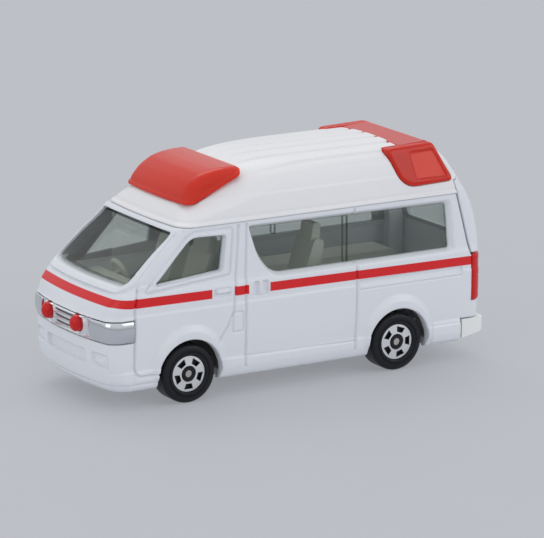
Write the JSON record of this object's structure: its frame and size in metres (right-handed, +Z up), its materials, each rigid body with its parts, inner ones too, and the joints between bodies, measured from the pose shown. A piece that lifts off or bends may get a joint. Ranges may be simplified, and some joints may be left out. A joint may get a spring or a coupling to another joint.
{
  "type": "toy ambulance van",
  "caption": "Pocket die-cast toy ambulance van with a high ribbed roof, red roof beacons, smoke glazing, a top-hinged rear gate, leaf-sprung axles and rolling wheels.",
  "frame": {"origin": "on the ground under the middle of the van, bounding-box bottom centre", "axes": "+X forward to the nose, +Y to the van's left, +Z up"},
  "size_m": [0.0778, 0.0274, 0.0386],
  "materials": {
    "white_enamel": "gloss white enamel on a zinc casting, red belt stripe",
    "white_plastic": "satin white moulding",
    "clear_red": "clear red moulding",
    "lamp_red": "gloss red",
    "plated": "bright plating",
    "smoke": "clear smoke moulding",
    "beige_plastic": "matte beige-grey moulding",
    "ivory_plastic": "satin ivory moulding",
    "steel": "drawn wire",
    "spring_steel": "rolled strip",
    "black_plastic": "satin black moulding with a hot-stamped silver disc"
  },
  "bodies": {
    "van": {"body_shell": "white_enamel", "high_roof": "white_plastic", "front_beacon": "clear_red", "rear_beacon": "clear_red", "front_grille": "plated", "left_grille_lamp": "lamp_red", "right_grille_lamp": "lamp_red", "left_tail_lamp": "lamp_red", "right_tail_lamp": "lamp_red", "glazing": "smoke", "interior_tub": "beige_plastic", "base_plate": "ivory_plastic", "front_axle": "steel", "rear_axle": "steel", "front_spring": "spring_steel", "rear_spring": "spring_steel"},
    "gate": {"rear_gate": "white_enamel", "gate_window": "smoke"},
    "front_left_roller": {"front_left_wheel": "black_plastic"},
    "front_right_roller": {"front_right_wheel": "black_plastic"},
    "rear_left_roller": {"rear_left_wheel": "black_plastic"},
    "rear_right_roller": {"rear_right_wheel": "black_plastic"}
  },
  "joints": [
    {"name": "gate_hinge", "type": "hinge", "parent": "van", "child": "gate", "pos_m": [-0.0322, 0, 0.0334], "axis": [0, 1, 0], "range_deg": [0, 80]},
    {"name": "front_left_spin", "type": "hinge", "parent": "van", "child": "front_left_roller", "pos_m": [0.0206, 0, 0.005], "axis": [0, 1, 0], "continuous": true},
    {"name": "front_right_spin", "type": "hinge", "parent": "van", "child": "front_right_roller", "pos_m": [0.0206, 0, 0.005], "axis": [0, 1, 0], "continuous": true},
    {"name": "rear_left_spin", "type": "hinge", "parent": "van", "child": "rear_left_roller", "pos_m": [-0.0204, 0, 0.005], "axis": [0, 1, 0], "continuous": true},
    {"name": "rear_right_spin", "type": "hinge", "parent": "van", "child": "rear_right_roller", "pos_m": [-0.0204, 0, 0.005], "axis": [0, 1, 0], "continuous": true}
  ]
}
